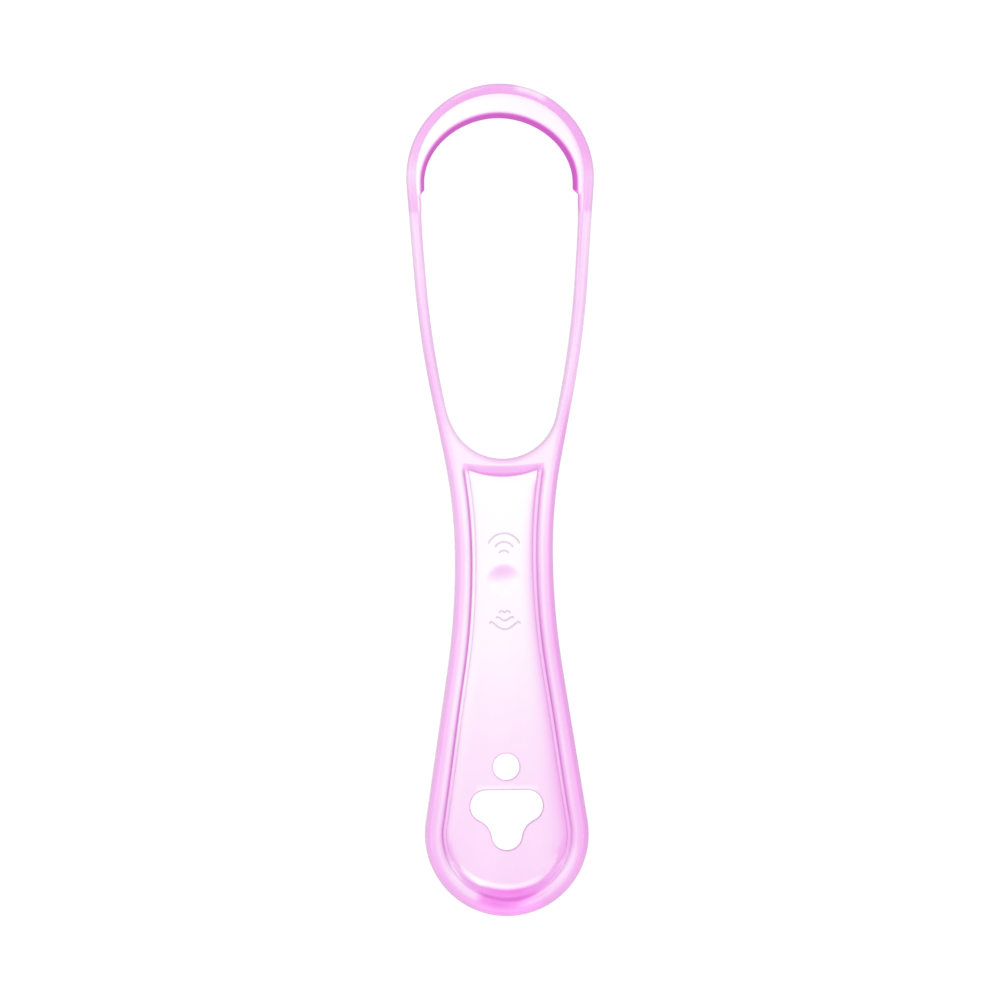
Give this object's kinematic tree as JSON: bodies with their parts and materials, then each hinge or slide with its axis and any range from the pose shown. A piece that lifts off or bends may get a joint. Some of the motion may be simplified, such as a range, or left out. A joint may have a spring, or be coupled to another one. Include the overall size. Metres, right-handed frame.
{
  "type": "tongue scraper",
  "caption": "Tongue scraper in translucent tinted plastic: open hoop head with a turned-back scraping edge, slim arms, and a flared handle with a rimmed panel and hanging holes.",
  "frame": {"origin": "middle of the footprint, on the resting plane under the flat back of the handle rim", "axes": "+Y towards the head, +X to the right seen from the front, +Z out of the front face; the tool lies on its back"},
  "size_m": [0.035, 0.155, 0.0044],
  "materials": {
    "tinted_shell": "gloss, translucent light purple-pink",
    "scraping_edge": "gloss, translucent purple, deeper where it is seen edge-on",
    "grip_ribs": "gloss, translucent light purple-pink"
  },
  "bodies": {
    "root": {"head_hoop": "tinted_shell", "blade_web": "tinted_shell", "scraping_edge": "scraping_edge", "left_arm": "tinted_shell", "right_arm": "tinted_shell", "neck_yoke": "tinted_shell", "handle_rim": "tinted_shell", "handle_panel": "tinted_shell", "grip_ribs_upper": "grip_ribs", "grip_ribs_lower": "grip_ribs"}
  },
  "joints": []
}
